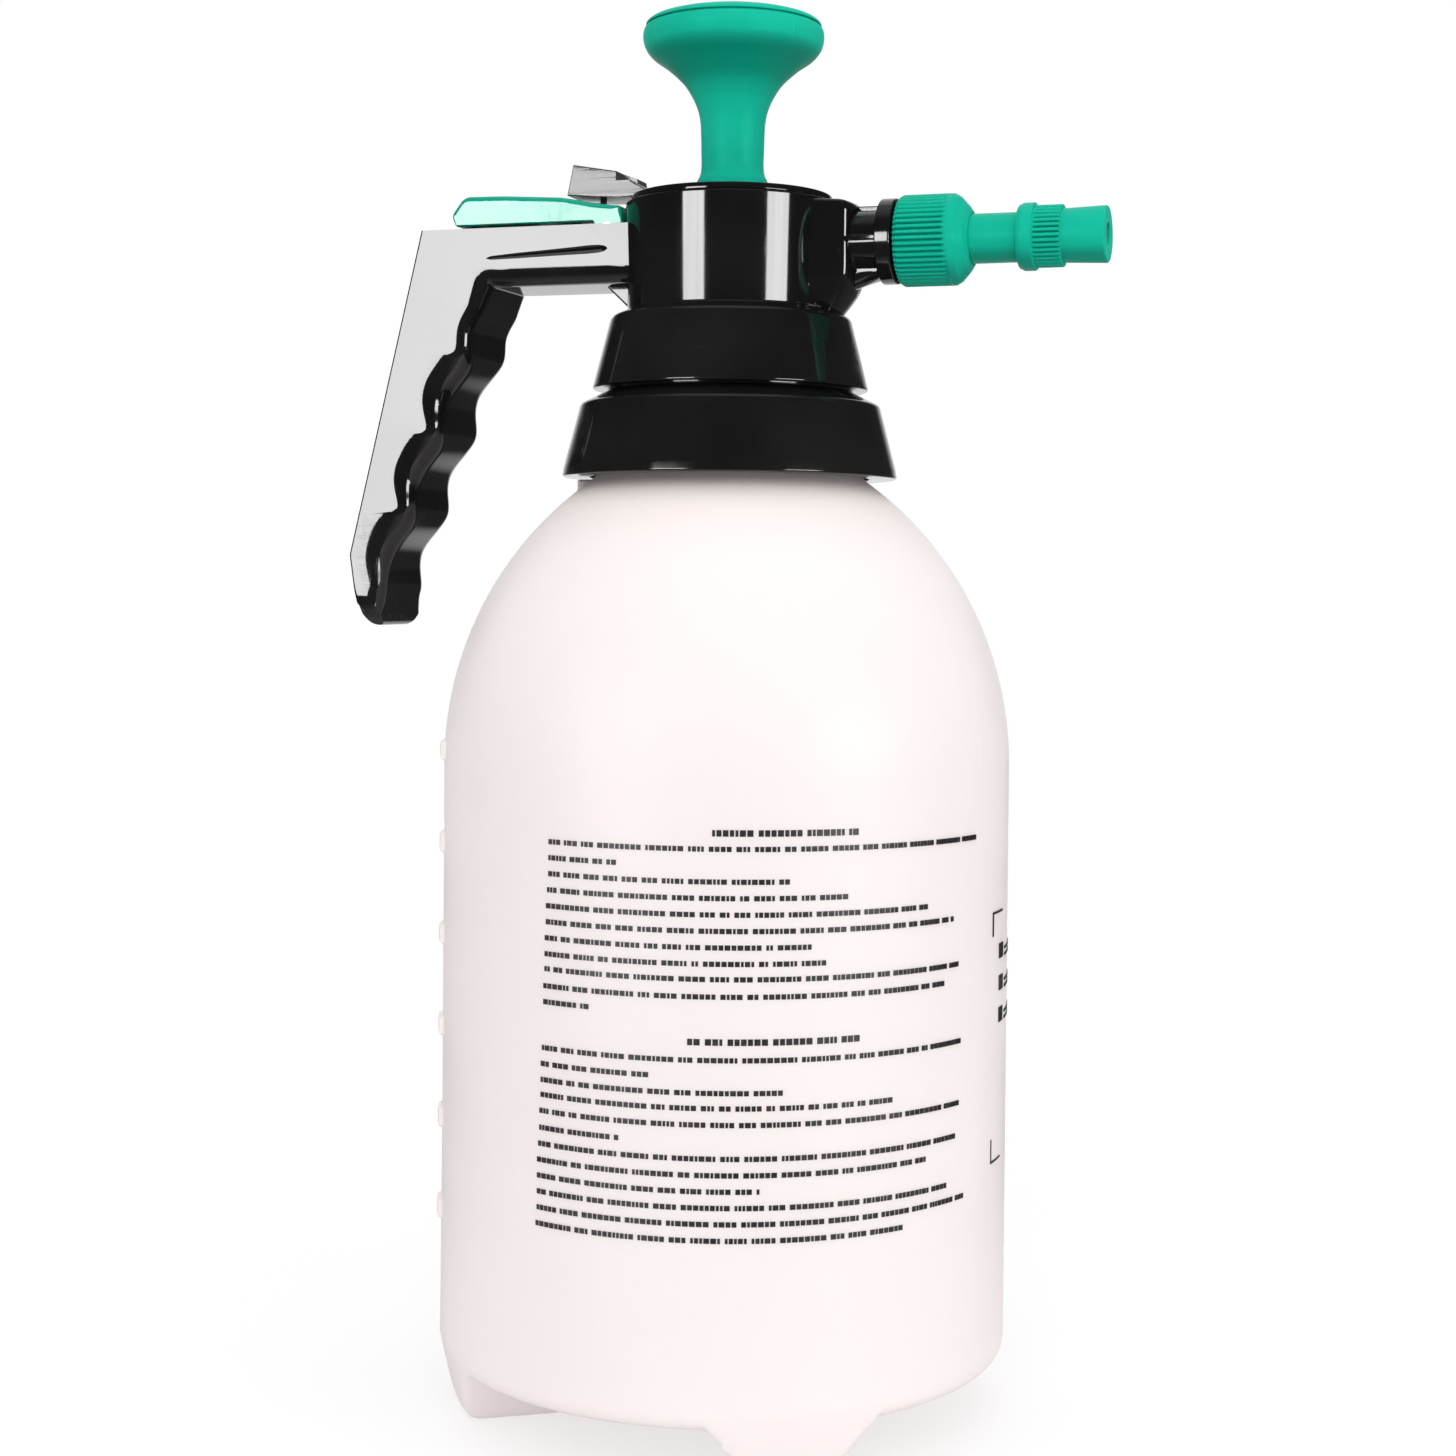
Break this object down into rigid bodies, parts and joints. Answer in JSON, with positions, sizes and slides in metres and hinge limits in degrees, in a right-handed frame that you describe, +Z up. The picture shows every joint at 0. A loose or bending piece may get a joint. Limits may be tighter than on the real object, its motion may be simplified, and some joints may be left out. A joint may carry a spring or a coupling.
{
  "type": "pump sprayer",
  "caption": "Hand pump pressure sprayer: milky footed bottle, black stepped screw-on head with pistol handle, green pump knob, thumb lever and adjustable nozzle.",
  "frame": {"origin": "centre of the bottle's base on the floor, on the bottle's axis, which is within 2 mm of the bottom centre of the whole part's box", "axes": "+Z up along the bottle and pump axis, +X towards the spray nozzle, handle towards -X"},
  "size_m": [0.172, 0.126, 0.3107],
  "materials": {
    "natural_hdpe": "translucent blow-moulded, satin",
    "black_plastic": "glossy",
    "green_plastic": "semi-gloss",
    "white_plastic": "satin",
    "rubber_seal": "matt",
    "steel": "drawn wire"
  },
  "bodies": {
    "tank": {"bottle": "natural_hdpe"},
    "neck_seal": {"neck_gasket": "rubber_seal"},
    "head": {"head_housing": "black_plastic", "pump_cap": "black_plastic", "pump_cylinder": "white_plastic", "cylinder_o_ring": "rubber_seal", "check_valve": "rubber_seal", "valve_block": "white_plastic", "inlet_elbow": "white_plastic", "outlet_hose": "white_plastic", "dip_tube": "white_plastic", "dip_tube_filter": "white_plastic", "trigger_pin": "steel", "outlet_o_ring": "rubber_seal", "nozzle_barrel": "green_plastic", "union_nut": "green_plastic", "swirl_core": "white_plastic", "valve_spring": "steel"},
    "plunger": {"pump_knob": "green_plastic", "knob_cap": "green_plastic", "pump_rod": "white_plastic", "piston": "white_plastic", "piston_ring": "rubber_seal"},
    "trigger": {"trigger_lever": "green_plastic"},
    "lock": {"lock_slide": "black_plastic"},
    "valve": {"valve_stem": "white_plastic", "valve_seal": "rubber_seal"},
    "tip_seal": {"nozzle_o_ring": "rubber_seal"},
    "tip": {"nozzle_tip": "green_plastic"}
  },
  "joints": [
    {"name": "head_lift", "type": "slide", "parent": "tank", "child": "neck_seal", "axis": [0, 0, 1], "range_m": [0, 0.008]},
    {"name": "head_turn", "type": "hinge", "parent": "neck_seal", "child": "head", "pos_m": [0, 0, 0.2125], "axis": [0, 0, 1], "range_deg": [0, 720]},
    {"name": "pump_stroke", "type": "slide", "parent": "head", "child": "plunger", "axis": [0, 0, 1], "range_m": [0, 0.1]},
    {"name": "trigger_press", "type": "hinge", "parent": "head", "child": "trigger", "pos_m": [-0.026, 0, 0.261], "axis": [0, -1, 0], "range_deg": [0, 6]},
    {"name": "lock_slide_fore_aft", "type": "slide", "parent": "trigger", "child": "lock", "axis": [1, 0, 0], "range_m": [0, 0.004]},
    {"name": "valve_push", "type": "slide", "parent": "head", "child": "valve", "axis": [0, 0, -1], "range_m": [0, 0.0017], "deforming": ["valve_spring"]},
    {"name": "tip_advance", "type": "slide", "parent": "head", "child": "tip_seal", "axis": [1, 0, 0], "range_m": [0, 0.003]},
    {"name": "tip_turn", "type": "hinge", "parent": "tip_seal", "child": "tip", "pos_m": [0.075, 0, 0.2574], "axis": [1, 0, 0], "range_deg": [0, 540]}
  ],
  "couplings": [
    {"joint": "head_lift", "follows": "head_turn", "m_per_rad": 0.00063662},
    {"joint": "tip_turn", "follows": "tip_advance", "rad_per_m": 3141.6},
    {"joint": "valve_push", "follows": "trigger_press", "m_per_rad": 0.016}
  ]
}
